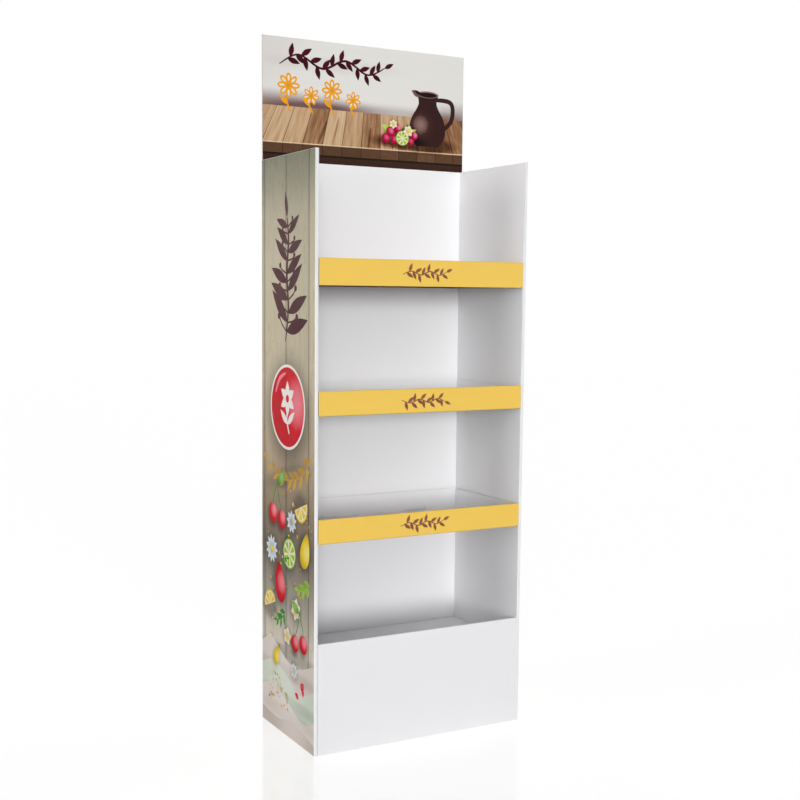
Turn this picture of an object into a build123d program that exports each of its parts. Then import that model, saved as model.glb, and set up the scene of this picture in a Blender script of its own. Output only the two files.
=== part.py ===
from build123d import *
import os

# A free-standing display stand of folded corrugated board: a tall shell with double side walls and an
# open front, three hanging shelf trays, a base tray on slotted supports, and a header card.
# Millimetres. The stand faces -Y, +X is its right side as seen from the front, and +Z is up.
# The origin is on the ground, at the centre of the footprint.

# Board
BOARD = 3.0  # one ply of corrugated board
FOLD_OUT = 2.4  # radius on the outside of a fold
FOLD_IN = 0.2  # radius of the crease on the inside of a fold
FIT = 0.3  # clearance between a tray and the walls around it

# Shell
WIDTH = 600.0
DEPTH = 330.0
WALL_HEIGHT = 1470.0
WALL_GAP = 3.3  # space between the two plies of a side wall, and behind the back panel
REAR_SEAM = 1.0  # gap where the two rear flaps meet
GLUE_TAB_WIDTH = 36.0
GLUE_TAB_HEIGHT = 1300.0

# Header card
HEADER_TOP = 1785.0
TONGUE_WIDTH = 540.0
TONGUE_LENGTH = 120.0
TONGUE_CORNER = 12.0

# Shelf trays: height of the underside, and height of the front lip
SHELVES = {
    "shelf_upper": (1149.0, 66.0),
    "shelf_middle": (836.0, 61.0),
    "shelf_lower": (525.0, 61.0),
}
FLAP_HEIGHT = 58.0  # side and back flaps of a tray
FLAP_CORNER = 6.0
LIP_GAP = 0.5  # space inside a rolled lip

# Hook tabs, which hang each tray in slots in the inner plies
TAB_WIDTH = 60.0
TAB_REACH = 6.0
TAB_CORNER = 2.0
TAB_SPACING_SIDE = 170.0
TAB_SPACING_BACK = 320.0
SLOT_PLAY = 1.0  # how much longer a slot is than its tab, at each end
SLOT_LIFT = 0.6  # room above a tab in its slot

# Base tray and the supports under it
BASE_FRONT_TOP = 279.0
BASE_FLOOR_TOP = 209.0
LEG_END_GAP = 4.0  # from a side leg's ends to the panels in front of and behind it
DIVIDER_X = 96.0
DIVIDER_TOP_GAP = 0.2
HALF_LAP_PLAY = 0.2

# Worked out from the above
HALF_W = WIDTH / 2
FRONT = -DEPTH / 2
REAR = DEPTH / 2
WALL = 2 * BOARD + WALL_GAP  # thickness of a double side wall
INNER_X = HALF_W - WALL  # inside face of a side wall
BACK_FACE = REAR - WALL  # front face of the back panel
LIP = 2 * BOARD + LIP_GAP  # thickness of a rolled lip
TRAY_X = INNER_X - FIT  # half the width of a tray
TRAY_REAR = BACK_FACE - FIT
BASE_UNDER = BASE_FLOOR_TOP - BOARD


def box(x, y, z):
    """A box from its (low, high) pair on each axis."""
    size = [high - low for low, high in (x, y, z)]
    return Pos(x[0], y[0], z[0]) * Box(*size, align=Align.MIN)


def folded_ply(plane, points, board_side):
    """Section of one ply. The points run along its face on show, and the board lies on their left (1) or right (-1)."""
    shown = [Vector(*point) for point in points]
    runs = [(b - a).normalized() for a, b in zip(shown, shown[1:])]
    inward = [run.rotate(Axis.Z, 90 * board_side) * BOARD for run in runs]
    corners = [corner + before + after for corner, before, after in zip(shown[1:-1], inward, inward[1:])]
    hidden = [shown[0] + inward[0], *corners, shown[-1] + inward[-1]]

    shown_radii = []
    hidden_radii = []
    for before, after in zip(runs, runs[1:]):
        board_inside = before.cross(after).Z * board_side > 0
        shown_radii.append(FOLD_OUT if board_inside else FOLD_IN)
        hidden_radii.append(FOLD_IN if board_inside else FOLD_OUT)
    outline = [
        FilletPolyline(*shown, radius=shown_radii),
        FilletPolyline(*hidden, radius=hidden_radii),
        Line(shown[0], hidden[0]),
        Line(shown[-1], hidden[-1]),
    ]
    return plane * make_face(outline)


def both_sides(shape):
    """The shape and its mirror image on the other side of the stand."""
    return [shape, mirror(shape, about=Plane.YZ)]


def tab_places(spacing):
    """Centres of the two hook tabs along one edge of a tray."""
    return (-spacing / 2, spacing / 2)


def side_tab(y, z):
    """One hook tab on the left side of a tray whose underside is at z."""
    middle_x = -TRAY_X - TAB_REACH / 2
    tab = Pos(middle_x, y, z) * Box(TAB_REACH, TAB_WIDTH, BOARD, align=(Align.CENTER, Align.CENTER, Align.MIN))
    tips = tab.edges().filter_by(Axis.Z).group_by(Axis.X)[0]
    return fillet(tips, TAB_CORNER)


def back_tab(x, z):
    """One hook tab on the rear edge of a tray whose underside is at z."""
    middle_y = TRAY_REAR + TAB_REACH / 2
    tab = Pos(x, middle_y, z) * Box(TAB_WIDTH, TAB_REACH, BOARD, align=(Align.CENTER, Align.CENTER, Align.MIN))
    tips = tab.edges().filter_by(Axis.Z).group_by(Axis.Y)[-1]
    return fillet(tips, TAB_CORNER)


def fold_rounding(corner_z, centre_z, y):
    """What the rounded fold along a tray's left edge leaves off the square corner there."""
    low_high = sorted((corner_z, centre_z))
    centre_x = -TRAY_X + FOLD_OUT
    square = box((-TRAY_X, centre_x), y, low_high)
    bar = Pos(centre_x, (y[0] + y[1]) / 2, centre_z) * Rot(X=90) * Cylinder(FOLD_OUT, y[1] - y[0])
    return square - bar


def slots(underside, with_back):
    """Slots in the inner plies for the hook tabs of the tray at this height."""
    half = TAB_WIDTH / 2 + SLOT_PLAY
    high = (underside, underside + BOARD + SLOT_LIFT)
    cut = []
    for y in tab_places(TAB_SPACING_SIDE):
        cut += both_sides(box((-INNER_X - BOARD, -INNER_X), (y - half, y + half), high))
    if with_back:
        for x in tab_places(TAB_SPACING_BACK):
            cut.append(box((x - half, x + half), (BACK_FACE, BACK_FACE + BOARD), high))
    return cut


def body_shell():
    """One sheet that wraps both double side walls, the back panel and the rear flaps."""
    left = [(-REAR_SEAM / 2, REAR), (-HALF_W, REAR), (-HALF_W, FRONT), (-INNER_X, FRONT), (-INNER_X, BACK_FACE)]
    right = [(-x, y) for x, y in reversed(left)]
    shell = extrude(folded_ply(Plane.XY, left + right, board_side=1), WALL_HEIGHT)

    pocket = (REAR - BOARD - WALL_GAP + FIT, REAR - BOARD)
    shell += box((-GLUE_TAB_WIDTH, BOARD), pocket, (0, GLUE_TAB_HEIGHT))

    for underside, _ in SHELVES.values():
        shell -= slots(underside, with_back=True)
    shell -= slots(BASE_UNDER, with_back=False)
    return shell


def header_card():
    """Flat printed card whose tongue slides into the pocket behind the back panel."""
    panel = Pos(0, 0, (WALL_HEIGHT + HEADER_TOP) / 2) * Box(WIDTH, BOARD, HEADER_TOP - WALL_HEIGHT)
    tongue = Pos(0, 0, WALL_HEIGHT - TONGUE_LENGTH / 2) * Box(TONGUE_WIDTH, BOARD, TONGUE_LENGTH)
    tongue = fillet(tongue.edges().filter_by(Axis.Y).group_by(Axis.Z)[0], TONGUE_CORNER)
    return Pos(0, REAR - BOARD - WALL_GAP / 2, 0) * (panel + tongue)


def shelf_tray(underside, lip_height):
    """Tray folded from one sheet: floor, rolled front lip, side and back flaps, and hook tabs."""
    lip_top = underside + lip_height
    flap_top = underside + FLAP_HEIGHT
    floor_top = underside + BOARD
    section = [
        (TRAY_REAR, flap_top),
        (TRAY_REAR, underside),
        (FRONT, underside),
        (FRONT, lip_top),
        (FRONT + LIP, lip_top),
        (FRONT + LIP, floor_top + FIT),
    ]
    tray = extrude(folded_ply(Plane.YZ, section, board_side=-1), TRAY_X, both=True)

    flap_y = (FRONT + LIP + 2 * FIT, TRAY_REAR - BOARD - FIT)
    flap = box((-TRAY_X, -TRAY_X + BOARD), flap_y, (underside, flap_top))
    flap = chamfer(flap.edges().filter_by(Axis.X).group_by(Axis.Z)[-1], FLAP_CORNER)
    for y in tab_places(TAB_SPACING_SIDE):
        half = TAB_WIDTH / 2 + SLOT_PLAY
        flap -= box((-TRAY_X, -TRAY_X + BOARD), (y - half, y + half), (floor_top, floor_top + TAB_REACH))
    tray += both_sides(flap)
    tray -= both_sides(fold_rounding(underside, underside + FOLD_OUT, flap_y))
    for x in tab_places(TAB_SPACING_BACK):
        half = TAB_WIDTH / 2 + SLOT_PLAY
        tray -= box((x - half, x + half), (TRAY_REAR - BOARD, TRAY_REAR), (floor_top, floor_top + TAB_REACH))

    for y in tab_places(TAB_SPACING_SIDE):
        tray += both_sides(side_tab(y, underside))
    for x in tab_places(TAB_SPACING_BACK):
        tray += back_tab(x, underside)
    return tray


def base_tray():
    """Front panel, rolled lip, floor and rear leg in one sheet, with a leg down each side."""
    section = [
        (FRONT, 0),
        (FRONT, BASE_FRONT_TOP),
        (FRONT + LIP, BASE_FRONT_TOP),
        (FRONT + LIP, BASE_FLOOR_TOP),
        (TRAY_REAR, BASE_FLOOR_TOP),
        (TRAY_REAR, 0),
    ]
    tray = extrude(folded_ply(Plane.YZ, section, board_side=-1), TRAY_X, both=True)

    leg_y = (FRONT + LIP + LEG_END_GAP, TRAY_REAR - BOARD - LEG_END_GAP)
    tray += both_sides(box((-TRAY_X, -TRAY_X + BOARD), leg_y, (0, BASE_UNDER)))
    tray -= both_sides(fold_rounding(BASE_FLOOR_TOP, BASE_FLOOR_TOP - FOLD_OUT, leg_y))
    for y in tab_places(TAB_SPACING_SIDE):
        tray += both_sides(side_tab(y, BASE_UNDER))
    return tray


def base_divider_long():
    """Support from side to side under the base floor, slotted from above."""
    half_length = TRAY_X - BOARD - FIT
    top = BASE_UNDER - DIVIDER_TOP_GAP
    divider = box((-half_length, half_length), (-BOARD / 2, BOARD / 2), (0, top))
    half_slot = BOARD / 2 + HALF_LAP_PLAY
    for x in (-DIVIDER_X, DIVIDER_X):
        divider -= box((x - half_slot, x + half_slot), (-BOARD, BOARD), (top / 2 - HALF_LAP_PLAY, top))
    return divider


def base_divider_across(x):
    """Support from front to back under the base floor, slotted from below."""
    top = BASE_UNDER - DIVIDER_TOP_GAP
    divider = box((x - BOARD / 2, x + BOARD / 2), (FRONT + BOARD + FIT, TRAY_REAR - BOARD - FIT), (0, top))
    half_slot = BOARD / 2 + HALF_LAP_PLAY
    return divider - box((x - BOARD, x + BOARD), (-half_slot, half_slot), (0, top / 2 + HALF_LAP_PLAY))


pieces = {
    "body_shell": body_shell(),
    "header_card": header_card(),
    "base_tray": base_tray(),
    "base_divider_long": base_divider_long(),
    "base_divider_left": base_divider_across(-DIVIDER_X),
    "base_divider_right": base_divider_across(DIVIDER_X),
}
for name, (underside, lip_height) in SHELVES.items():
    pieces[name] = shelf_tray(underside, lip_height)

os.makedirs("parts", exist_ok=True)
for name, piece in pieces.items():
    export_step(piece, f"parts/{name}.step")
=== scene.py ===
import math
import random

import bmesh
import bpy
import numpy as np
from mathutils import Matrix, Vector
from mathutils.geometry import delaunay_2d_cdt


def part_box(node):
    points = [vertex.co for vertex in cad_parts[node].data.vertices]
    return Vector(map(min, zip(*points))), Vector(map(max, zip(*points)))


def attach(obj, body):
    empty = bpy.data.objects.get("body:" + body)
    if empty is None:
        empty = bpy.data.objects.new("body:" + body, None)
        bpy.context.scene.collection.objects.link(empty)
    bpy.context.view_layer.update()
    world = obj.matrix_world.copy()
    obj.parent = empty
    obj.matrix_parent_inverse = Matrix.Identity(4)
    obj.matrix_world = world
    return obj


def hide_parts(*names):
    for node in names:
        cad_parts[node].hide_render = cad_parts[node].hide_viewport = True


# A display stand of printed corrugated board, in metres in the frame of the CAD model, with its open front
# towards -Y. The printed designs are drawn in millimetres.

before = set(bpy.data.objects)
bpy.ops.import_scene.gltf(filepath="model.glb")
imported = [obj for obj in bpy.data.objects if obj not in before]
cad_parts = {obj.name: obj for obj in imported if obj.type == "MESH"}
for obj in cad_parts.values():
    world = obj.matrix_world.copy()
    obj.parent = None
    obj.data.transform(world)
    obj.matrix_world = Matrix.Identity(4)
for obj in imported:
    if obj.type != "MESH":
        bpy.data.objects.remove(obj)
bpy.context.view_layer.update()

MM = 0.001
BODY = "root"
SHELVES = ("shelf_upper", "shelf_middle", "shelf_lower")
DIVIDERS = ("base_divider_long", "base_divider_left", "base_divider_right")

# Sizes of the board and its folds, as in the CAD model
shell_low, shell_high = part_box("body_shell")
header_low, header_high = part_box("header_card")
BOARD = header_high.y - header_low.y
FOLD = 2.4 * MM
WALL_GAP = 3.3 * MM
WALL = 2 * BOARD + WALL_GAP
LIP = 6.5 * MM  # depth of a tray's rolled lip
TAB_REACH = 6.0 * MM
TRAY_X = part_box("shelf_upper")[1].x - TAB_REACH
FLAP_HEIGHT = 58 * MM
BASE_HEIGHT = 209 * MM
HALF_W = shell_high.x
FRONT = shell_low.y
REAR = shell_high.y
WALL_TOP = shell_high.z
INNER_X = HALF_W - WALL
BACK_FACE = REAR - WALL

# Corrugated board seen at a cut edge
LINER = 0.4 * MM
FLUTE_PITCH = 6.5 * MM
FLUTE_SHEET = 0.3 * MM
FLUTE_DEPTH = 3.0 * MM
FLUTE_STEPS = 10
FLUTE_INSET = 0.1 * MM  # how far the flutes end below the liners
PRINT_SHEET = 0.2 * MM  # thickness of a printed sheet on the board

NEAR = 0.05 * MM  # two places closer than this are the same


# ---------------------------------------------------------------- camera

LENS_MM = 56.28
CAMERA_AT = Vector((-1.5520, -2.8671, 1.1234))
YAW, PITCH, ROLL = math.radians(28.764), math.radians(-5.434), math.radians(0.522)
SHIFT_UP = 0.02


def make_camera():
    """The camera stands in front of the stand, to its left, at about the height of the upper shelf."""
    data = bpy.data.cameras.new("camera")
    data.lens = LENS_MM
    data.shift_y = SHIFT_UP
    data.clip_end = 60.0
    camera = bpy.data.objects.new("camera", data)
    level_forward = Vector((math.sin(YAW), math.cos(YAW), 0))
    forward = level_forward * math.cos(PITCH) + Vector((0, 0, math.sin(PITCH)))
    level_right = Vector((math.cos(YAW), -math.sin(YAW), 0))
    level_up = level_right.cross(forward)
    right = math.cos(ROLL) * level_right + math.sin(ROLL) * level_up
    up = math.cos(ROLL) * level_up - math.sin(ROLL) * level_right
    turn = Matrix((right, up, -forward)).transposed()
    camera.matrix_world = Matrix.Translation(CAMERA_AT) @ turn.to_4x4()
    bpy.context.scene.collection.objects.link(camera)
    bpy.context.scene.camera = camera


# ---------------------------------------------------------------- shader helpers

def linear(value):
    """Linear light of one 0 to 255 screen value."""
    share = value / 255
    return share / 12.92 if share <= 0.04045 else ((share + 0.055) / 1.055) ** 2.4


def colour(red, green, blue):
    """Linear colour from 0 to 255 screen values."""
    return (linear(red), linear(green), linear(blue), 1.0)


FULL = (1.0, 1.0, 1.0, 1.0)


class Nodes:
    """Adds nodes to one tree. A number or colour sets an input, and an output links to it."""

    def __init__(self, tree):
        self.tree = tree

    def set(self, node, **inputs):
        """An input goes by its name, with _ for a space, or by its number, as in0."""
        for name, value in inputs.items():
            key = int(name[2:]) if name.startswith("in") else name.replace("_", " ")
            if isinstance(value, bpy.types.NodeSocket):
                self.tree.links.new(value, node.inputs[key])
            else:
                node.inputs[key].default_value = value

    def add(self, kind, settings=None, **inputs):
        node = self.tree.nodes.new("ShaderNode" + kind)
        for name, value in (settings or {}).items():
            setattr(node, name, value)
        self.set(node, **inputs)
        return node

    def math(self, operation, a, b=0.0):
        return self.add("Math", {"operation": operation}, in0=a, in1=b).outputs[0]

    def seen_directly(self):
        """1 where the eye, a reflection or a view through glass meets the surface, and 0 for light."""
        path = self.add("LightPath").outputs
        seen = self.math("MAXIMUM", path["Is Camera Ray"], path["Is Glossy Ray"])
        return self.math("MAXIMUM", seen, path["Is Transmission Ray"])


class Shader(Nodes):
    """The nodes of one new material."""

    def __init__(self, name):
        self.material = bpy.data.materials.new(name)
        self.material.use_nodes = True
        super().__init__(self.material.node_tree)
        self.surface = self.tree.nodes["Principled BSDF"]

    def place(self):
        """Separate x, y and z of the point, in metres."""
        return self.add("SeparateXYZ", Vector=self.add("TexCoord").outputs["Object"]).outputs

    def stretched(self, x=1.0, y=1.0, z=1.0):
        """The point's coordinates, each multiplied."""
        point = self.add("TexCoord").outputs["Object"]
        return self.add("Mapping", Vector=point, Scale=(x, y, z)).outputs[0]

    def noise(self, vector, scale, detail=3.0, roughness=0.5):
        inputs = {"Vector": vector, "Scale": scale, "Detail": detail, "Roughness": roughness}
        return self.add("TexNoise", **inputs).outputs["Fac"]

    def flat_noise(self, vector, x, y, detail=3.0, roughness=0.5):
        """Noise with its own scale along each axis of a printed sheet."""
        spot = self.add("Mapping", Vector=vector, Scale=(x, y, 1.0)).outputs[0]
        return self.noise(spot, 1.0, detail, roughness)

    def swing(self, level, noise, share):
        """The level, moved up or down by a share of the noise's distance from its middle."""
        return self.math("ADD", level, self.math("MULTIPLY", self.math("SUBTRACT", noise, 0.5), share))

    def ramp(self, factor, stops):
        """Colour ramp from stops of a place and 0 to 255 screen values."""
        node = self.add("ValToRGB", Fac=factor)
        elements = node.color_ramp.elements
        while len(elements) < len(stops):
            elements.new(1.0)
        for element, (place, tone) in zip(elements, stops):
            element.position = place
            element.color = colour(*tone)
        return node.outputs[0]

    def range(self, value, low, high, to_low=0.0, to_high=1.0):
        """Smooth step of a value from one range to another."""
        inputs = {"Value": value, "From_Min": low, "From_Max": high, "To_Min": to_low, "To_Max": to_high}
        return self.add("MapRange", {"interpolation_type": "SMOOTHSTEP"}, **inputs).outputs[0]

    def mix(self, factor, a, b, blend="MIX"):
        node = self.add("Mix", {"data_type": "RGBA", "blend_type": blend}, Factor=factor)
        self.set(node, in6=a, in7=b)
        return node.outputs[2]

    def vary(self, tone, amount, factor):
        """The tone, a little darker where the factor is 0 and a little lighter where it is 1."""
        darker = tuple(channel * (1 - amount) for channel in tone[:3]) + (1.0,)
        lighter = tuple(min(1.0, channel * (1 + amount)) for channel in tone[:3]) + (1.0,)
        return self.mix(factor, darker, lighter)

    def bump(self, height, distance, strength=1.0, **inputs):
        return self.add("Bump", Height=height, Distance=distance, Strength=strength, **inputs).outputs[0]

    def finish(self, base, normal, roughness, specular):
        self.set(self.surface, Base_Color=base, Normal=normal)
        self.set(self.surface, Roughness=roughness, Specular_IOR_Level=specular)
        return self.material


# ---------------------------------------------------------------- board materials

def washboard(shader, across):
    """Height of the faint ripple that flutes leave on a liner, along the two axes a ply turns through."""
    spots = shader.place()
    along = shader.math("ADD", spots[across[0]], spots[across[1]])
    return shader.math("SINE", shader.math("MULTIPLY", along, 2 * math.pi / FLUTE_PITCH))


def coated_board(name, tone, across=("X", "Y"), roughness=0.52):
    """Clay-coated liner: a smooth pale face with a faint ripple from the flutes and a little mottling."""
    shader = Shader(name)
    clouds = shader.noise(shader.stretched(), 7.0, 4.0)
    fibres = shader.noise(shader.stretched(), 900.0, 2.0)
    ripple = shader.bump(washboard(shader, across), 0.010 * MM)
    grain = shader.bump(fibres, 0.02 * MM, 0.5, Normal=ripple)
    gloss = shader.range(clouds, 0.3, 0.7, roughness - 0.04, roughness + 0.04)
    return shader.finish(shader.vary(tone, 0.012, clouds), grain, gloss, 0.35)


def kraft_board(name, tone, across=("X", "Y")):
    """Bare brown liner: long fibres, dark flecks and a stronger ripple."""
    shader = Shader(name)
    clouds = shader.noise(shader.stretched(), 14.0, 5.0)
    fibres = shader.noise(shader.stretched(260.0, 260.0, 60.0), 1.0, 4.0, 0.6)
    flecks = shader.range(shader.noise(shader.stretched(), 420.0, 1.0), 0.68, 0.76)
    base = shader.vary(tone, 0.10, clouds)
    fibre_tone = tuple(0.55 * channel for channel in tone[:3]) + (1.0,)
    base = shader.mix(shader.math("MULTIPLY", fibres, 0.22), base, fibre_tone)
    base = shader.mix(shader.math("MULTIPLY", flecks, 0.35), base, colour(84, 58, 36))
    ripple = shader.bump(washboard(shader, across), 0.03 * MM)
    grain = shader.bump(fibres, 0.05 * MM, 0.6, Normal=ripple)
    return shader.finish(base, grain, shader.range(clouds, 0.3, 0.7, 0.82, 0.92), 0.2)


def cut_edge(name, tone):
    """Torn-fibre look of paper cut across."""
    shader = Shader(name)
    fuzz = shader.noise(shader.stretched(), 1400.0, 3.0, 0.7)
    gloss = shader.range(fuzz, 0.3, 0.7, 0.86, 0.96)
    return shader.finish(shader.vary(tone, 0.22, fuzz), shader.bump(fuzz, 0.08 * MM), gloss, 0.15)


WHITE = colour(243, 243, 245)
YELLOW = colour(246, 205, 91)
KRAFT = colour(176, 137, 97)
# Kraft brown made much darker than the bare board as painted shade, for the trays' undersides and backs
KRAFT_PAINTED_SHADE = colour(76, 59, 44)

board_white = coated_board("board_white", WHITE)
tray_white = coated_board("tray_white", WHITE, ("Y", "Z"))
tray_yellow = coated_board("tray_yellow", YELLOW, ("Y", "Z"), 0.46)
board_kraft = kraft_board("board_kraft", KRAFT)
# the trays' kraft, darkened with painted shade
tray_kraft = kraft_board("tray_kraft", KRAFT_PAINTED_SHADE, ("Y", "Z"))
edge_kraft = cut_edge("edge_kraft", KRAFT)
edge_white = cut_edge("edge_white", colour(226, 222, 214))
flute_kraft = cut_edge("flute_kraft", colour(176, 140, 100))


# ---------------------------------------------------------------- mesh helpers

def add_piece(name, mesh, replaces=None):
    """A finished piece that rides on the stand."""
    piece = bpy.data.objects.new(name, mesh)
    bpy.context.scene.collection.objects.link(piece)
    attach(piece, BODY)
    if replaces:
        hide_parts(replaces)
    return piece


def node_copy(node):
    """The CAD node's mesh with welded corners and one face for each flat stretch."""
    bm = bmesh.new()
    bm.from_mesh(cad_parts[node].data)
    bmesh.ops.remove_doubles(bm, verts=bm.verts, dist=0.01 * MM)
    bmesh.ops.dissolve_limit(bm, angle_limit=math.radians(0.5), verts=bm.verts, edges=bm.edges)
    bm.normal_update()
    return bm


def open_edge(bm, axis, sign, at, behind=None):
    """Turns a flat cut edge of the board, or its part behind a given y, into two liners and a hollow."""
    normal = Vector([sign if i == axis else 0.0 for i in range(3)])
    faces = []
    for face in bm.faces:
        middle = face.calc_center_median()
        on_edge = face.normal.dot(normal) > 0.999 and abs(middle[axis] - at) < NEAR
        if on_edge and (behind is None or middle.y > behind):
            faces.append(face)
    even = {"use_even_offset": True, "use_boundary": True}
    bmesh.ops.inset_region(bm, faces=faces, thickness=LINER, **even)
    bmesh.ops.inset_region(bm, faces=faces, thickness=0.01 * MM, depth=-FLUTE_DEPTH, **even)
    bm.normal_update()


def wave(bm, start, end, across, depth, material_index, pitch=FLUTE_PITCH):
    """The wavy sheet between the liners along a cut edge, going inward by depth. No pitch makes it flat."""
    along = end - start
    length = along.length
    count = max(2, int(length / pitch * FLUTE_STEPS)) if pitch else 1
    turns = 2 * math.pi / pitch if pitch else 0.0
    swing = (BOARD - 2 * LINER - FLUTE_SHEET) / 2
    rings = []
    for step in range(count + 1):
        phase = turns * length * step / count
        slope = swing * turns * math.cos(phase)
        middle = start + along * (step / count) + across * (swing * math.sin(phase))
        side = (across - along.normalized() * slope).normalized() * (FLUTE_SHEET / 2)
        corners = (middle + side, middle - side, middle - side + depth, middle + side + depth)
        rings.append([bm.verts.new(corner) for corner in corners])
    faces = []
    for a, b in zip(rings, rings[1:]):
        for i in range(4):
            j = (i + 1) % 4
            faces.append(bm.faces.new((a[i], a[j], b[j], b[i])))
    faces.append(bm.faces.new(rings[0]))
    faces.append(bm.faces.new(rings[-1][::-1]))
    for face in faces:
        face.material_index = material_index
    bmesh.ops.recalc_face_normals(bm, faces=faces)


def finish_board(bm, name, node, materials):
    """Writes the bmesh to a piece that stands for a CAD node."""
    mesh = bpy.data.meshes.new(name)
    bm.to_mesh(mesh)
    bm.free()
    for material in materials:
        mesh.materials.append(material)
    return add_piece(name, mesh, node)


DOWN = Vector((0, 0, -FLUTE_DEPTH))
X_WAY = Vector((1, 0, 0))
Y_WAY = Vector((0, 1, 0))


# ---------------------------------------------------------------- body shell

def shell_runs():
    """Straight runs of the shell's ply in plan, along the middle of the board, as (start, end)."""
    half = BOARD / 2
    outer, inner = HALF_W - half, INNER_X + half
    front, back, rear = FRONT + half, BACK_FACE + half, REAR - half
    seam = 1.5 * MM
    runs = [((-inner + FOLD, back), (inner - FOLD, back))]
    for side in (-1, 1):
        runs.append(((side * seam, rear), (side * (outer - FOLD), rear)))
        runs.append(((side * outer, rear - FOLD), (side * outer, front + FOLD)))
        runs.append(((side * inner, front + FOLD), (side * inner, back - FOLD)))
    return runs


def make_shell():
    """The folded shell: white where it shows, bare brown inside the double walls, flutes at its top."""
    white, kraft, edge, flute = range(4)
    bm = node_copy("body_shell")
    for face in bm.faces:
        spot = face.calc_center_median()
        in_wall = INNER_X + NEAR < abs(spot.x) < HALF_W - BOARD + NEAR and spot.y > FRONT + BOARD - NEAR
        in_pocket = BACK_FACE + NEAR < spot.y < REAR - BOARD + NEAR
        if abs(face.normal.z) > 0.9:
            face.material_index = edge
        elif (in_wall or in_pocket) and abs(spot.x) < HALF_W - NEAR:
            face.material_index = kraft
        else:
            face.material_index = white
    open_edge(bm, 2, 1, WALL_TOP)
    open_edge(bm, 2, -1, shell_low.z)
    top = WALL_TOP - FLUTE_INSET
    for start, end in shell_runs():
        a, b = Vector((*start, top)), Vector((*end, top))
        run = (b - a).normalized()
        wave(bm, a, b, Vector((-run.y, run.x, 0)), DOWN, flute)
    materials = [board_white, board_kraft, edge_kraft, flute_kraft]
    return finish_board(bm, "shell_board", "body_shell", materials)


# ---------------------------------------------------------------- trays

def make_shelf(node):
    """A shelf tray: yellow lip, white inside, bare brown below and behind, darkened there with painted
    shade.
    """
    white, yellow, kraft, edge, flute = range(5)
    low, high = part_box(node)
    flap_top = low.z + FLAP_HEIGHT
    lip_back = FRONT + LIP
    tray_rear = high.y - TAB_REACH
    bm = node_copy(node)
    for face in bm.faces:
        spot, normal = face.calc_center_median(), face.normal
        on_lip = spot.y < lip_back + NEAR and spot.z > low.z + 0.3 * MM
        outer_face = spot.y < FRONT + FOLD or spot.y > lip_back - FOLD or spot.z > high.z - FOLD
        if on_lip and outer_face and abs(normal.x) < 0.5 and normal.z > -0.75:
            face.material_index = yellow
        # the underside and back take kraft darkened with painted shade
        elif normal.z < -0.5 or normal.y > 0.9 and spot.y > tray_rear - NEAR:
            face.material_index = kraft
        elif abs(normal.x) > 0.9 and abs(spot.x) > TRAY_X - NEAR:
            face.material_index = kraft
        elif normal.z > 0.9 and abs(spot.z - flap_top) < NEAR:
            face.material_index = edge
        else:
            face.material_index = white
    open_edge(bm, 2, 1, flap_top, lip_back + NEAR)
    top = flap_top - FLUTE_INSET
    corner = 8 * MM
    for side in (-1, 1):
        x = side * (TRAY_X - BOARD / 2)
        start, end = Vector((x, lip_back + corner, top)), Vector((x, tray_rear - BOARD - corner, top))
        wave(bm, start, end, X_WAY, DOWN, flute)
    y, reach = tray_rear - BOARD / 2, TRAY_X - 2 * MM
    wave(bm, Vector((-reach, y, top)), Vector((reach, y, top)), Y_WAY, DOWN, flute, None)
    name = node.replace("shelf_", "shelf_tray_")
    materials = [tray_white, tray_yellow, tray_kraft, edge_white, flute_kraft]
    return finish_board(bm, name, node, materials)


def make_base():
    """The base tray: white on the sheet's outer side, bare brown inside its hollow foot."""
    white, kraft, edge = range(3)
    floor_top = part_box("base_tray")[0].z + BASE_HEIGHT
    bm = node_copy("base_tray")
    for face in bm.faces:
        spot, normal = face.calc_center_median(), face.normal
        inward_y = abs(normal.y) > 0.9 and normal.y * spot.y < 0
        inside = spot.z < floor_top - FOLD and (inward_y or normal.x * spot.x < 0)
        if spot.z < NEAR:
            face.material_index = edge
        elif normal.z < -0.9 or inside:
            face.material_index = kraft
        else:
            face.material_index = white
    materials = [tray_white, board_kraft, edge_kraft]
    return finish_board(bm, "base_tray_board", "base_tray", materials)


def make_divider(node):
    """A bare brown support under the base."""
    kraft, edge = range(2)
    bm = node_copy(node)
    flat_axis = 1 if node.endswith("long") else 0
    for face in bm.faces:
        face.material_index = kraft if abs(face.normal[flat_axis]) > 0.9 else edge
    return finish_board(bm, node + "_board", node, [board_kraft, edge_kraft])


def make_header():
    """The header card: white under its print, bare brown behind, flutes along its top and sides."""
    white, kraft, edge, flute = range(4)
    bm = node_copy("header_card")
    for face in bm.faces:
        if face.normal.y < -0.9:
            face.material_index = white
        elif face.normal.y > 0.9:
            face.material_index = kraft
        else:
            face.material_index = edge
    open_edge(bm, 2, 1, header_high.z)
    middle = (header_low.y + header_high.y) / 2
    top = header_high.z - FLUTE_INSET
    start, end = Vector((header_low.x + MM, middle, top)), Vector((header_high.x - MM, middle, top))
    wave(bm, start, end, Y_WAY, DOWN, flute)
    for side, x in ((-1, header_low.x), (1, header_high.x)):
        open_edge(bm, 0, side, x)
        inset = x - side * FLUTE_INSET
        start, end = Vector((inset, middle, WALL_TOP + MM)), Vector((inset, middle, header_high.z - 4 * MM))
        wave(bm, start, end, Y_WAY, Vector((-side * FLUTE_DEPTH, 0, 0)), flute, None)
    materials = [board_white, board_kraft, edge_kraft, flute_kraft]
    return finish_board(bm, "header_board", "header_card", materials)


# ---------------------------------------------------------------- printing inks

SHADE = "shade"  # from 0, in the dark, over 0.5, the plain colour, to 1, a highlight
PLACE = "print_place"  # where a point lies on its sheet, in millimetres
PRINT_GRID = 5.0  # millimetres between the points that carry a print's shading

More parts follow.
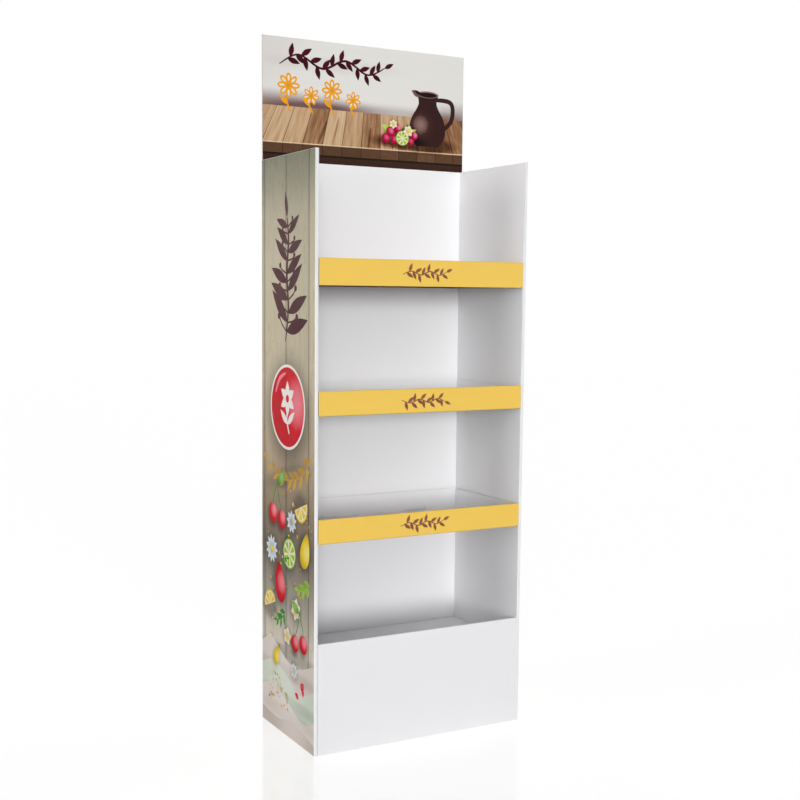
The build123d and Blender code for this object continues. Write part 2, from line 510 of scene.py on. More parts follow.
# The side's sheet and its planks, in millimetres. Tones go from the floor up.
SIDE_WIDTH = 325.2
SIDE_HEIGHT = 1469.0
PLANK_START = 18.0
PLANK_WIDTH = 137.0
PLANK_TONES = [(0.0, (196, 184, 170)), (0.10, (226, 216, 204)), (0.17, (218, 208, 192)),
               (0.24, (172, 164, 150)), (0.33, (120, 108, 94)), (0.41, (152, 134, 112)),
               (0.50, (186, 168, 142)), (0.62, (202, 188, 162)), (0.80, (198, 188, 160)),
               (0.89, (188, 178, 154)), (0.96, (150, 146, 124)), (1.0, (128, 128, 108))]

# The header's sheet and the point that its table's boards run to, in millimetres
HEADER_WIDTH = 599.0
HEADER_HEIGHT = 314.0
TABLE_FOOT = 22.0
TABLE_FRONT = 50.0
TABLE_BACK = 141.0
TABLE_VANISH_U = 340.0
TABLE_VANISH_V = 790.0
TABLE_PLANK = 57.0
TABLE_TONES = [(0.0, (70, 42, 26)), (0.32, (140, 98, 66)), (0.55, (196, 160, 124)), (1.0, (240, 218, 184))]


def printed(shader):
    """The shade, and the place on the sheet, that the print's mesh carries."""
    shade = shader.add("Attribute", {"attribute_name": SHADE}).outputs["Fac"]
    return shade, shader.add("Attribute", {"attribute_name": PLACE}).outputs["Vector"]


def finish_ink(shader, place, base, grain, roughness=0.5):
    """Print on coated board: its colour, a satin gloss and the ripple of the flutes below."""
    across = shader.add("SeparateXYZ", Vector=place).outputs[0]
    flutes = shader.math("SINE", shader.math("MULTIPLY", across, 2 * math.pi * MM / FLUTE_PITCH))
    gloss = shader.range(shader.noise(place, 0.03), 0.3, 0.7, roughness - 0.05, roughness + 0.05)
    inked = shader.mix(1.0, base, grain, "MULTIPLY")
    return shader.finish(inked, shader.bump(flutes, 0.008 * MM), gloss, 0.05)


def ink(name, dark, plain, light, roughness=0.5, speckle=0.05):
    """Printed colour that follows the shade, a little uneven as print on board is."""
    shader = Shader("ink_" + name)
    shade, place = printed(shader)
    level = shader.swing(shade, shader.noise(place, 0.09, 3.0, 0.6), 2 * speckle)
    base = shader.ramp(level, [(0.0, dark), (0.5, plain), (1.0, light)])
    dots = shader.vary(FULL, 0.025, shader.noise(place, 0.9, 2.0))
    return finish_ink(shader, place, base, dots, roughness)


def weathered_planks():
    """Upright grey planks, darker at the top and in a band below the middle, paler towards the floor."""
    shader = Shader("ink_planks")
    shade, place = printed(shader)
    u, v = shader.add("SeparateXYZ", Vector=place).outputs[:2]
    u_bent = shader.swing(u, shader.flat_noise(place, 0.002, 0.006, 2.0), 5.0)
    plank = shader.math("DIVIDE", shader.math("SUBTRACT", u_bent, PLANK_START), PLANK_WIDTH)
    number = shader.math("FLOOR", plank)
    across = shader.math("FRACT", plank)
    to_seam = shader.math("MULTIPLY", shader.math("PINGPONG", across, 0.5), PLANK_WIDTH)
    seam = shader.range(to_seam, 0.8, 3.2, 1.0, 0.0)
    soft_seam = shader.range(to_seam, 1.0, 16.0, 1.0, 0.0)
    chance = shader.add("TexWhiteNoise", {"noise_dimensions": "1D"}, W=number).outputs["Value"]

    shift = shader.add("CombineXYZ", X=shader.math("MULTIPLY", number, 40.0), Y=0.0, Z=number).outputs[0]
    spot = shader.add("VectorMath", {"operation": "ADD"}, in0=place, in1=shift).outputs[0]
    wide = shader.add("Mapping", Vector=spot, Scale=(0.012, 0.004, 1.0)).outputs[0]
    bend = shader.add("TexNoise", Vector=wide, Scale=1.0, Detail=2.0).outputs["Color"]
    curve = shader.add("VectorMath", {"operation": "SCALE"}, in0=bend, Scale=26.0).outputs[0]
    bent = shader.add("VectorMath", {"operation": "ADD"}, in0=spot, in1=curve).outputs[0]
    coarse = shader.flat_noise(bent, 0.11, 0.0035, 4.0, 0.6)
    fine = shader.flat_noise(bent, 0.55, 0.012, 4.0, 0.65)
    cracks = shader.range(shader.flat_noise(bent, 0.16, 0.0022, 2.0), 0.60, 0.68)

    grain = shader.math("ADD", shader.math("MULTIPLY", coarse, 0.34), shader.math("MULTIPLY", fine, 0.22))
    level = shader.math("ADD", grain, 0.72)
    level = shader.swing(level, chance, 0.16)
    level = shader.math("SUBTRACT", level, shader.math("MULTIPLY", soft_seam, 0.10))
    level = shader.math("SUBTRACT", level, shader.math("MULTIPLY", cracks, 0.20))
    gap = shader.math("SUBTRACT", 1.0, shader.math("MULTIPLY", seam, 0.62))
    level = shader.math("MULTIPLY", level, gap)
    level = shader.math("MULTIPLY", level, shader.math("MULTIPLY", shade, 2.0))
    tint = shader.add("CombineColor", Red=level, Green=level, Blue=level).outputs[0]
    base = shader.ramp(shader.math("DIVIDE", v, SIDE_HEIGHT), PLANK_TONES)
    return finish_ink(shader, place, base, tint, 0.52)


def table_planks():
    """Warm boards seen in perspective: their grain runs towards the design's vanishing point."""
    shader = Shader("ink_table")
    shade, place = printed(shader)
    u, v = shader.add("SeparateXYZ", Vector=place).outputs[:2]
    nearness = shader.math("DIVIDE", TABLE_VANISH_V, shader.math("SUBTRACT", TABLE_VANISH_V, v))
    across = shader.math("MULTIPLY", shader.math("SUBTRACT", u, TABLE_VANISH_U), nearness)
    depth = shader.math("MULTIPLY", nearness, 900.0)
    spot = shader.add("CombineXYZ", X=across, Y=depth, Z=0.0).outputs[0]
    level = shader.swing(shade, shader.flat_noise(spot, 0.10, 0.006, 3.0, 0.6), 0.55)
    level = shader.swing(level, shader.flat_noise(spot, 0.45, 0.02, 3.0, 0.6), 0.30)
    return finish_ink(shader, place, shader.ramp(level, TABLE_TONES), FULL)


ink_planks = weathered_planks()
ink_table = table_planks()
ink_wall = ink("wall", (112, 74, 74), (233, 231, 226), (244, 244, 240), speckle=0.01)
ink_edge = ink("table_edge", (40, 26, 20), (98, 70, 50), (170, 132, 98), speckle=0.10)
ink_night = ink("below_table", (22, 14, 12), (58, 38, 30), (100, 74, 60))
ink_maroon = ink("maroon", (30, 6, 12), (68, 16, 26), (140, 74, 80))
ink_orange = ink("orange", (190, 110, 16), (240, 164, 30), (255, 214, 120))
ink_cream = ink("cream", (178, 150, 96), (240, 226, 190), (252, 246, 230))
ink_ochre = ink("ochre", (120, 80, 22), (206, 158, 66), (246, 218, 140))
ink_red = ink("red", (110, 4, 14), (216, 14, 32), (255, 160, 174))
ink_berry = ink("berry", (84, 4, 34), (196, 22, 76), (250, 150, 190))
ink_yellow = ink("yellow", (160, 116, 6), (236, 204, 40), (255, 244, 150))
ink_lime = ink("lime", (60, 110, 12), (156, 204, 46), (222, 244, 150))
ink_leaf = ink("leaf", (16, 66, 16), (64, 146, 44), (160, 214, 110))
ink_pale = ink("pale_blue", (120, 136, 146), (214, 224, 232), (250, 252, 255))
ink_linen = ink("linen", (150, 132, 120), (226, 214, 206), (248, 242, 238), speckle=0.03)
ink_mint = ink("mint", (140, 150, 130), (222, 230, 214), (246, 250, 242), speckle=0.03)
ink_jug = ink("jug", (22, 12, 14), (66, 40, 38), (196, 160, 146), roughness=0.36)
ink_brown = ink("brown", (110, 66, 50), (148, 94, 76), (196, 146, 120))


# ---------------------------------------------------------------- drawing in millimetres

def away(u, v, reach, degrees):
    """The point at that reach from (u, v) in that direction."""
    angle = math.radians(degrees)
    return u + reach * math.cos(angle), v + reach * math.sin(angle)


def turned(outline, u, v, turn):
    """The outline turned by some degrees about its own origin, then moved to (u, v)."""
    c, s = math.cos(math.radians(turn)), math.sin(math.radians(turn))
    return [(u + x * c - y * s, v + x * s + y * c) for x, y in outline]


def ellipse(u, v, half_width, half_height, turn=0.0, steps=32):
    angles = [2 * math.pi * step / steps for step in range(steps)]
    return turned([(half_width * math.cos(a), half_height * math.sin(a)) for a in angles], u, v, turn)


def disc(u, v, radius, steps=32):
    return ellipse(u, v, radius, radius, steps=steps)


def leaf(u, v, length, width, turn, steps=12):
    """Pointed oval that starts at (u, v), widest a little before its middle."""
    shares = [step / steps for step in range(steps + 1)]
    lower = [(length * s, -width / 2 * math.sin(math.pi * s ** 0.85)) for s in shares]
    upper = [(x, -y) for x, y in lower[-2:0:-1]]
    return turned(lower + upper, u, v, turn)


def pear(u, v, size, turn, neck=0.55, steps=40):
    """Round body below, with a neck that narrows upward."""
    outline = []
    for step in range(steps):
        a = 2 * math.pi * step / steps
        narrowing = 1 - neck * ((1 + math.sin(a)) / 2) ** 1.6
        outline.append((size / 2 * 0.80 * math.cos(a) * narrowing, size / 2 * math.sin(a) * 1.15))
    return turned(outline, u, v, turn)


def sector(u, v, radius, start, end, steps=10):
    """Slice of a disc between two angles in degrees."""
    rim = [away(u, v, radius, start + (end - start) * step / steps) for step in range(steps + 1)]
    return [(u, v)] + rim


def smooth(points, steps=8):
    """Points of a smooth curve through the given ones."""
    padded = [points[0]] + list(points) + [points[-1]]
    curve = []
    for before, start, end, after in zip(padded, padded[1:], padded[2:], padded[3:]):
        for step in range(steps):
            t = step / steps
            spot = []
            for a, b, c, d in zip(before, start, end, after):
                value = 2 * b + (c - a) * t
                value += (2 * a - 5 * b + 4 * c - d) * t * t
                value += (3 * b - a - 3 * c + d) * t ** 3
                spot.append(0.5 * value)
            curve.append(tuple(spot))
    curve.append(tuple(points[-1]))
    return curve


def directions(curve):
    """Unit direction at each point of a curve."""
    found = []
    for i in range(len(curve)):
        before, after = curve[max(0, i - 1)], curve[min(len(curve) - 1, i + 1)]
        du, dv = after[0] - before[0], after[1] - before[1]
        length = math.hypot(du, dv) or 1.0
        found.append((du / length, dv / length))
    return found


def brush(curve, thick, thin=0.35):
    """Outline of a brush stroke along a curve, thick in its middle and narrowed to thin at its ends."""
    last = len(curve) - 1
    left, right = [], []
    for i, ((u, v), (du, dv)) in enumerate(zip(curve, directions(curve))):
        half = thick / 2 * (thin + (1 - thin) * abs(math.sin(math.pi * i / last)) ** 0.6)
        left.append((u - dv * half, v + du * half))
        right.append((u + dv * half, v - du * half))
    return right + left[::-1]


def divided(outline, longest):
    """The outline with points added on its long straight stretches."""
    points = []
    for (u, v), (next_u, next_v) in zip(outline, outline[1:] + outline[:1]):
        count = math.ceil(math.hypot(next_u - u, next_v - v) / longest) or 1
        points.extend((u + (next_u - u) * i / count, v + (next_v - v) * i / count) for i in range(count))
    return points


def eased(share):
    """Smooth step from 0 to 1."""
    return share * share * (3 - 2 * share)


class Design:
    """A flat design. Later shapes lie over earlier ones, and a soft shadow falls on the shapes before it."""

    def __init__(self, width=None, height=None, ground=None):
        self.size = (width, height)
        self.shapes = []
        self.shadows = []
        if ground:
            self.shape([(0, 0), (width, 0), (width, height), (0, height)], ground)

    def shape(self, outline, material, glow=0.5):
        """glow is a shade, or (u, v, reach, shade there, shade beyond the reach)."""
        area = sum(a[0] * b[1] - b[0] * a[1] for a, b in zip(outline, outline[1:] + outline[:1]))
        outline = divided(outline, 1.4 * PRINT_GRID)
        self.shapes.append((outline if area > 0 else outline[::-1], material, glow))

    def shadow(self, u, v, half_width, half_height, strength, turn=0.0):
        falls_on = len(self.shapes)
        self.shadows.append((falls_on, u, v, half_width, half_height, math.radians(turn), strength))

    def triangles(self):
        """Points, triangles and the topmost shape of each triangle."""
        points, outlines = [], []
        for outline, _, _ in self.shapes:
            outlines.append(list(range(len(points), len(points) + len(outline))))
            points.extend(Vector(spot) for spot in outline)
        width, height = self.size
        if width:
            rows = int(height / (PRINT_GRID * 0.87))
            columns = int(width / PRINT_GRID)
            for row in range(1, rows):
                shift = 0.25 if row % 2 else 0.75
                v = row * height / rows
                points.extend(Vector(((column + shift) * width / columns, v)) for column in range(columns))
        spots, _, faces, _, _, sources = delaunay_2d_cdt(points, [], outlines, 1, 0.01, True)
        kept = []
        for face, source in zip(faces, sources):
            if source and (not width or 0 in source):
                kept.append((face, max(source)))
        used = sorted({corner for face, _ in kept for corner in face})
        new_index = {old: new for new, old in enumerate(used)}
        faces = [[new_index[corner] for corner in face] for face, _ in kept]
        return [spots[i] for i in used], faces, [top for _, top in kept]

    def shades(self, corners, tops):
        """Shade of each triangle corner."""
        shade = np.full(len(tops), 0.5)
        for index, (_, _, glow) in enumerate(self.shapes):
            mine = tops == index
            if isinstance(glow, tuple):
                u, v, reach, high, low = glow
                distance = np.hypot(corners[mine, 0] - u, corners[mine, 1] - v) / reach
                shade[mine] = low + (high - low) * eased(np.clip(1 - distance, 0, 1))
            else:
                shade[mine] = glow
        for below, u, v, half_width, half_height, turn, strength in self.shadows:
            du, dv = corners[:, 0] - u, corners[:, 1] - v
            along = (du * math.cos(turn) + dv * math.sin(turn)) / half_width
            across = (dv * math.cos(turn) - du * math.sin(turn)) / half_height
            fade = eased(np.clip(1.6 - np.hypot(along, across), 0, 1))
            shade -= (tops < below) * strength * fade
        return np.clip(shade, 0.02, 0.98)


def sheet_of(design, name, put, lift=PRINT_SHEET):
    """A thin closed sheet with the design on its front. put(u, v, lift) gives the place of a point of it."""
    spots, faces, tops = design.triangles()
    count = len(spots)
    front = [put(u, v, lift) for u, v in spots]
    back = [put(u, v, 0.0) for u, v in spots]
    edges = dict.fromkeys(edge for face in faces for edge in zip(face, face[1:] + face[:1]))
    border = [(a, b) for a, b in edges if (b, a) not in edges]
    rim = [(b, a, a + count, b + count) for a, b in border]
    behind = [tuple(corner + count for corner in reversed(face)) for face in faces]
    if design.size[0]:
        follow = dict(border)
        loop = [border[0][0]]
        while follow[loop[-1]] != loop[0]:
            loop.append(follow[loop[-1]])
        behind = [tuple(corner + count for corner in reversed(loop))]
    mesh = bpy.data.meshes.new(name)
    mesh.from_pydata(front + back, [], [tuple(face) for face in faces] + rim + behind)

    inks = list(dict.fromkeys(material for _, material, _ in design.shapes))
    for material in inks:
        mesh.materials.append(material)
    numbers = [inks.index(material) for _, material, _ in design.shapes]
    for polygon, top in zip(mesh.polygons, tops):
        polygon.material_index = numbers[top]
    corners = np.array([spots[i][:] for face in faces for i in face])
    shade = np.full(len(mesh.loops), 0.5)
    shade[:len(corners)] = design.shades(corners, np.repeat(tops, 3))
    mesh.attributes.new(SHADE, "FLOAT", "CORNER").data.foreach_set("value", shade)
    place = np.zeros((len(mesh.vertices), 3))
    place[:, :2] = [spot[:] for spot in spots] * 2
    mesh.attributes.new(PLACE, "FLOAT_VECTOR", "POINT").data.foreach_set("vector", place.ravel())
    return add_piece(name, mesh)


# ---------------------------------------------------------------- motifs

def draw_sprig(design, path, material, stem, leaf_size, leaves, spread=48, end_share=0.5, berry=0):
    """A stem along a path with a leaf to each side in turn, smaller towards the tip, and one at the tip.

    With a berry radius, a stalk with a berry stands across from each leaf."""
    length, width = leaf_size
    curve = smooth(path)
    headings = [math.degrees(math.atan2(dv, du)) for du, dv in directions(curve)]
    design.shape(brush(curve, stem), material, 0.45)
    for number in range(leaves):
        share = 0.10 + 0.86 * number / leaves
        at = int(share * (len(curve) - 1))
        side = 1 if number % 2 else -1
        scale = 1 - (1 - end_share) * share
        u, v = curve[at]
        outline = leaf(u, v, length * scale, width * scale, headings[at] + side * spread)
        design.shape(outline, material, 0.50 if side > 0 else 0.38)
        if berry:
            bent = [(0, 0), (0.24 * length, -side * 2), (0.46 * length * scale, 4 * side)]
            stalk = smooth(turned(bent, u, v, headings[at] - side * (spread + 6)))
            design.shape(brush(stalk, 0.45 * stem, 0.8), material)
            design.shape(disc(*stalk[-1], berry * scale, 20), material)
    design.shape(leaf(*curve[-1], length * end_share, width * end_share, headings[-1]), material)


def draw_berry(design, u, v, radius, material):
    """A round fruit with its light from the upper right."""
    design.shadow(u - 0.15 * radius, v - 0.3 * radius, radius, radius, 0.30)
    light = (u + 0.35 * radius, v + 0.38 * radius, 1.7 * radius, 0.9, 0.16)
    design.shape(disc(u, v, radius), material, light)


def draw_cherries(design, u, v, radius, lean=1):
    """Two cherries on stems that meet under a leaf."""
    top_u, top_v = u + lean * 1.1 * radius, v + 3.1 * radius
    draw_berry(design, u, v, radius, ink_red)
    draw_berry(design, u + lean * 2.1 * radius, v - 0.35 * radius, radius * 0.95, ink_red)
    for start_u, start_v in ((u, v + 0.7 * radius), (u + lean * 2.1 * radius, v + 0.4 * radius)):
        middle = ((start_u + top_u) / 2 - lean * 0.25 * radius, (start_v + top_v) / 2)
        stem = smooth([(start_u, start_v), middle, (top_u, top_v)])
        design.shape(brush(stem, 0.16 * radius), ink_leaf, 0.4)
    outline = leaf(top_u, top_v, 2.1 * radius, 0.95 * radius, 90 - lean * 62)
    design.shadow(top_u + lean * radius, top_v, radius, 0.5 * radius, 0.14)
    light = (top_u + lean * radius, top_v + 0.6 * radius, 1.5 * radius, 0.85, 0.35)
    design.shape(outline, ink_leaf, light)


def draw_daisy(design, u, v, radius, petals, material, centre, turn=0.0):
    """A flower with pointed petals about a small domed centre."""
    design.shadow(u, v - 0.12 * radius, radius, radius, 0.22)
    for number in range(petals):
        angle = turn + 360 * number / petals
        glow = (*away(u, v, radius, angle), radius, 0.62 + 0.12 * (number % 2), 0.26)
        design.shape(leaf(u, v, radius, radius * 4.6 / petals, angle), material, glow)
    light = (u + 0.08 * radius, v + 0.08 * radius, 0.4 * radius, 0.75, 0.3)
    design.shape(disc(u, v, 0.26 * radius), centre, light)


def draw_citrus(design, u, v, radius, rind, flesh, turn=0.0, segments=8):
    """A round slice: rind, pale pith and wedges of flesh."""
    design.shadow(u - 0.1 * radius, v - 0.15 * radius, radius, radius, 0.30)
    design.shape(disc(u, v, radius), rind, (u + radius, v + radius, 2.4 * radius, 0.7, 0.3))
    design.shape(disc(u, v, 0.90 * radius), ink_cream, 0.62)
    step = 360 / segments
    for number in range(segments):
        start = turn + number * step
        middle = start + step / 2
        point = away(u, v, 0.10 * radius, middle)
        wedge = sector(*point, 0.72 * radius, start + 0.13 * step, start + 0.87 * step, 6)
        design.shape(wedge, flesh, (*away(u, v, 0.8 * radius, middle), radius, 0.42, 0.72))


def draw_half_slice(design, u, v, radius, turn):
    """Half a round lemon slice, its flat side along the given direction."""
    design.shadow(u, v - 0.1 * radius, radius, 0.8 * radius, 0.26)
    design.shape(sector(u, v, radius, turn, turn + 180, 18), ink_yellow, 0.45)
    design.shape(sector(u, v, 0.89 * radius, turn + 2, turn + 178, 18), ink_cream, 0.62)
    for number in range(4):
        start = turn + 45 * number
        point = away(u, v, 0.10 * radius, start + 22.5)
        wedge = sector(*point, 0.70 * radius, start + 6, start + 39, 6)
        design.shape(wedge, ink_yellow, 0.45 + 0.08 * (number % 2))


def draw_pear(design, u, v, size, turn, material):
    """A pear-shaped fruit with a short brown stalk."""
    design.shadow(u - 0.05 * size, v - 0.06 * size, 0.42 * size, 0.56 * size, 0.32, turn)
    top = turned([(0, 0.52 * size), (0.03 * size, 0.66 * size), (0.10 * size, 0.78 * size)], u, v, turn)
    design.shape(brush(smooth(top), 0.07 * size, 0.7), ink_brown, 0.35)
    light = turned([(0.14 * size, 0.0)], u, v, turn)[0]
    design.shape(pear(u, v, size, turn), material, (*light, 0.75 * size, 0.82, 0.14))


def draw_seeds(design, count, area, seed, materials):
    """Small seeds and flakes scattered over an area, given as lowest u and v, then highest."""
    random.seed(seed)
    for _ in range(count):
        u, v = random.uniform(area[0], area[2]), random.uniform(area[1], area[3])
        length, turn = random.uniform(7, 14), random.uniform(0, 360)
        material = random.choice(materials)
        design.shadow(u, v - 1.5, 0.8 * length, 0.6 * length, 0.10)
        design.shape(leaf(u, v, length, 0.52 * length, turn), material, random.uniform(0.40, 0.72))


def draw_blossom_roundel(design, u, v, radius):
    """A glossy red disc with a pale ring and a pale flower on it."""
    def spot(x, y):
        return u + x * radius, v + y * radius

    design.shadow(u + 6, v - 12, 1.02 * radius, 1.04 * radius, 0.36)
    design.shape(disc(u, v, radius, 72), ink_linen, 0.92)
    design.shape(disc(u, v, 0.935 * radius, 72), ink_red, (*spot(0.55, 0.12), radius, 0.82, 0.38))
    crescent = smooth([spot(-0.70, 0.30), spot(-0.46, 0.64), spot(-0.08, 0.80)])
    design.shape(brush(crescent, 0.10 * radius, 0.1), ink_red, 0.80)
    stem = smooth([spot(0.10, -0.62), spot(-0.03, -0.30), spot(0, 0.05)])
    design.shape(brush(stem, 0.06 * radius, 0.8), ink_linen, 0.92)
    for turn in (142, 38):
        design.shape(leaf(*spot(0, -0.40), 0.52 * radius, 0.17 * radius, turn), ink_linen, 0.88)
    for turn in range(30, 390, 60):
        design.shape(leaf(*spot(0, 0.20), 0.42 * radius, 0.22 * radius, turn), ink_linen, 0.92)
    design.shape(disc(*spot(0, 0.20), 0.09 * radius), ink_red)


# ---------------------------------------------------------------- side print

def side_design():
    """Weathered planks with a leaf sprig, a red roundel, scattered fruit and flowers, and cloth below."""
    design = Design(SIDE_WIDTH, SIDE_HEIGHT, ink_planks)
    stem = [(152, 1010), (169, 1092), (160, 1178), (170, 1258), (162, 1316)]
    draw_sprig(design, stem, ink_maroon, 11.0, (138, 38), 12, 62, 0.48, 9.5)
    draw_blossom_roundel(design, 164, 846, 107)

    draw_seeds(design, 46, (14, 230, 312, 700), 7, [ink_ochre, ink_cream, ink_ochre, ink_yellow])
    design.shadow(165, 672, 130, 22, 0.14, 14)
    garland = [(318, 742), (262, 690), (190, 664), (104, 668), (40, 700)]
    draw_sprig(design, garland, ink_ochre, 5.0, (46, 17), 14, 38, 0.7)
    draw_half_slice(design, 246, 606, 40, 200)
    draw_cherries(design, 72, 566, 27)
    draw_daisy(design, 190, 560, 30, 9, ink_pale, ink_ochre, 12)
    draw_pear(design, 272, 500, 80, -16, ink_yellow)
    draw_citrus(design, 176, 476, 39, ink_lime, ink_lime, 10)
    draw_daisy(design, 64, 470, 38, 11, ink_pale, ink_yellow)
    draw_sprig(design, [(300, 420), (268, 400), (232, 396)], ink_lime, 3.5, (34, 15), 6, 44, 0.7)
    draw_pear(design, 118, 392, 92, 12, ink_red)
    draw_sprig(design, [(128, 446), (142, 458), (160, 462)], ink_leaf, 3.0, (22, 10), 3, 40, 0.8)
    draw_daisy(design, 216, 342, 30, 6, ink_cream, ink_ochre, 20)
    draw_half_slice(design, 54, 322, 38, 20)
    draw_sprig(design, [(150, 322), (128, 300), (100, 292)], ink_leaf, 3.5, (34, 14), 6, 44, 0.7)
    draw_cherries(design, 262, 262, 24, -1)
    draw_daisy(design, 164, 262, 24, 5, ink_cream, ink_yellow, 8)

    folds = (([(-8, 208), (60, 238), (140, 206), (220, 190), (333, 226)], ink_linen, 0.56),
             ([(-8, 150), (70, 178), (160, 158), (240, 128), (333, 160)], ink_mint, 0.52),
             ([(-8, 96), (90, 116), (180, 84), (260, 60), (333, 82)], ink_linen, 0.68),
             ([(-8, 40), (100, 30), (200, 46), (333, 22)], ink_linen, 0.40))
    for crest, material, tone in folds:
        design.shadow(165, crest[2][1] + 8, 190, 16, 0.16)
        middle = crest[len(crest) // 2]
        cloth = smooth(crest) + [(333, -8), (-8, -8)]
        design.shape(cloth, material, (*middle, 150, tone + 0.16, tone - 0.06))
    draw_seeds(design, 34, (50, 62, 170, 150), 11, [ink_ochre, ink_cream, ink_ochre, ink_orange])
    for u, v, turn in ((244, 150, 30), (262, 128, 100), (236, 118, 160), (268, 160, 220)):
        design.shape(leaf(u, v, 26, 15, turn), ink_red, (u, v, 26, 0.72, 0.4))
    draw_daisy(design, 206, 182, 22, 8, ink_pale, ink_yellow, 4)
    draw_pear(design, 96, 196, 52, -28, ink_yellow)
    return design


PRINT_MARGIN = 0.5 * MM  # bare board below a print and beside the header's


def make_sides():
    """The same print on both sides, each the right way round as seen from outside."""
    design = side_design()
    rear_edge = REAR - FOLD
    front_edge = FRONT + FOLD
    foot = shell_low.z + PRINT_MARGIN
    sheet_of(design, "print_side_left",
             lambda u, v, lift: (-HALF_W - lift, rear_edge - u * MM, foot + v * MM))
    sheet_of(design, "print_side_right",
             lambda u, v, lift: (HALF_W + lift, front_edge + u * MM, foot + v * MM))


# ---------------------------------------------------------------- header print

def header_design():
    """A plank table before a pale wall, with a garland, line flowers, a dark jug and a posy."""
    design = Design(HEADER_WIDTH, HEADER_HEIGHT, ink_wall)
    design.shadow(20, 130, 250, 38, 0.36)
    design.shadow(330, 134, 300, 24, 0.20)
    design.shadow(620, 134, 130, 40, 0.26)
    design.shadow(-20, 330, 110, 120, 0.05)
    draw_table(design)
    garland = [(46, 246), (100, 274), (168, 244), (236, 270), (300, 240), (352, 262)]
    design.shadow(200, 254, 160, 16, 0.05)
    draw_sprig(design, garland, ink_maroon, 6.0, (38, 15), 20, 50, 0.8)
    for flower in ((72, 194, 30, 8, -1), (136, 172, 23, 7, -1), (196, 190, 28, 8, -1), (258, 170, 22, 7, 1)):
        draw_line_flower(design, *flower)
    draw_jug(design, 486, 64)
    draw_posy(design, 398, 84)
    return design


def draw_band(design, low, high, material, tone):
    """A band across the whole header."""
    left, right = -5, HEADER_WIDTH + 5
    design.shape([(left, low), (right, low), (right, high), (left, high)], material, tone)


def draw_table(design):
    """Boards that narrow towards the vanishing point, over a front edge of short blocks."""
    def back(u):
        return TABLE_VANISH_U + (u - TABLE_VANISH_U) * narrow

    narrow = (TABLE_VANISH_V - TABLE_BACK) / (TABLE_VANISH_V - TABLE_FRONT)
    draw_band(design, TABLE_FRONT, TABLE_BACK, ink_table, 0.5)
    random.seed(5)
    start = TABLE_VANISH_U - 7 * TABLE_PLANK
    for number in range(14):
        near, far = start + number * TABLE_PLANK, start + (number + 1) * TABLE_PLANK
        board = [(near, TABLE_FRONT), (far, TABLE_FRONT), (back(far), TABLE_BACK), (back(near), TABLE_BACK)]
        in_jug_shade = near > 440
        tone = random.uniform(0.36, 0.66) - (0.16 if in_jug_shade else 0)
        design.shape(board, ink_table, tone)
        if random.random() < 0.5:
            streak = near + random.uniform(0.2, 0.8) * TABLE_PLANK
            line = [(streak, TABLE_FRONT), (back(streak) + 3, TABLE_BACK - random.uniform(10, 40))]
            design.shape(brush(smooth(line), 7.0, 0.2), ink_table, tone - 0.20)
    draw_band(design, 20, TABLE_FRONT, ink_night, 0.35)
    for number in range(15):
        near = start + number * TABLE_PLANK
        left, right = near + 0.8, near + TABLE_PLANK - 0.8
        seam = [(near - 0.9, TABLE_FRONT), (near + 0.9, TABLE_FRONT), (back(near) + 0.6, TABLE_BACK),
                (back(near) - 0.6, TABLE_BACK)]
        design.shape(seam, ink_night, 0.45)
        block = [(left, TABLE_FOOT), (right, TABLE_FOOT), (right, TABLE_FRONT), (left, TABLE_FRONT)]
        design.shape(block, ink_edge, random.uniform(0.34, 0.62))
    draw_band(design, TABLE_FRONT - 3, TABLE_FRONT, ink_table, 0.80)
    draw_band(design, -5, TABLE_FOOT, ink_night, 0.5)
    draw_band(design, TABLE_FOOT - 5, TABLE_FOOT, ink_night, 0.12)


def draw_line_flower(design, u, v, radius, petals, side):
    """An orange flower of open petals on a stem, its leaf to the left at -1 or to the right at 1."""
    stem = smooth([(u + 4, 128), (u - 6, (128 + v) / 2), (u, v)])
    design.shape(brush(stem, 5.0, 0.8), ink_orange, 0.45)
    design.shape(leaf(u - 4, 146, 30, 11, 90 - side * 44), ink_orange)
    for number in range(petals):
        angle = 90 + 360 * number / petals
        middle = away(u, v, 0.62 * radius, angle)
        design.shape(ellipse(*middle, 0.44 * radius, 0.26 * radius, angle, 20), ink_orange, 0.52)
        design.shape(ellipse(*middle, 0.25 * radius, 0.10 * radius, angle, 16), ink_wall, 0.55)
    design.shape(disc(u, v, 0.20 * radius, 20), ink_orange, 0.4)


def draw_jug(design, u, foot):
    """A dark glazed jug standing on the table, with a handle to its right."""
    design.shadow(u - 6, foot + 2, 74, 17, 0.46)
    handle = [(u + 24, foot + 128), (u + 74, foot + 122), (u + 76, foot + 76), (u + 44, foot + 44)]
    design.shape(brush(smooth(handle), 13, 0.75), ink_jug, 0.36)
    profile = [(33, 0), (50, 18), (57, 46), (50, 76), (35, 100), (28, 118), (34, 140)]
    right = smooth([(u + half, foot + rise) for half, rise in profile], 5)
    left = smooth([(u - half, foot + rise) for half, rise in profile], 5)
    design.shape(right + left[::-1], ink_jug, (u - 22, foot + 58, 52, 0.72, 0.30))
    design.shape(ellipse(u, foot + 140, 34, 9, 0, 28), ink_jug, 0.74)
    design.shape(ellipse(u, foot + 139, 29, 6.5, 0, 28), ink_jug, 0.06)
    design.shape(leaf(u - 20, foot + 134, 34, 17, 156), ink_jug, 0.60)
    design.shape(leaf(u - 16, foot + 137, 30, 8, 158), ink_jug, 0.08)


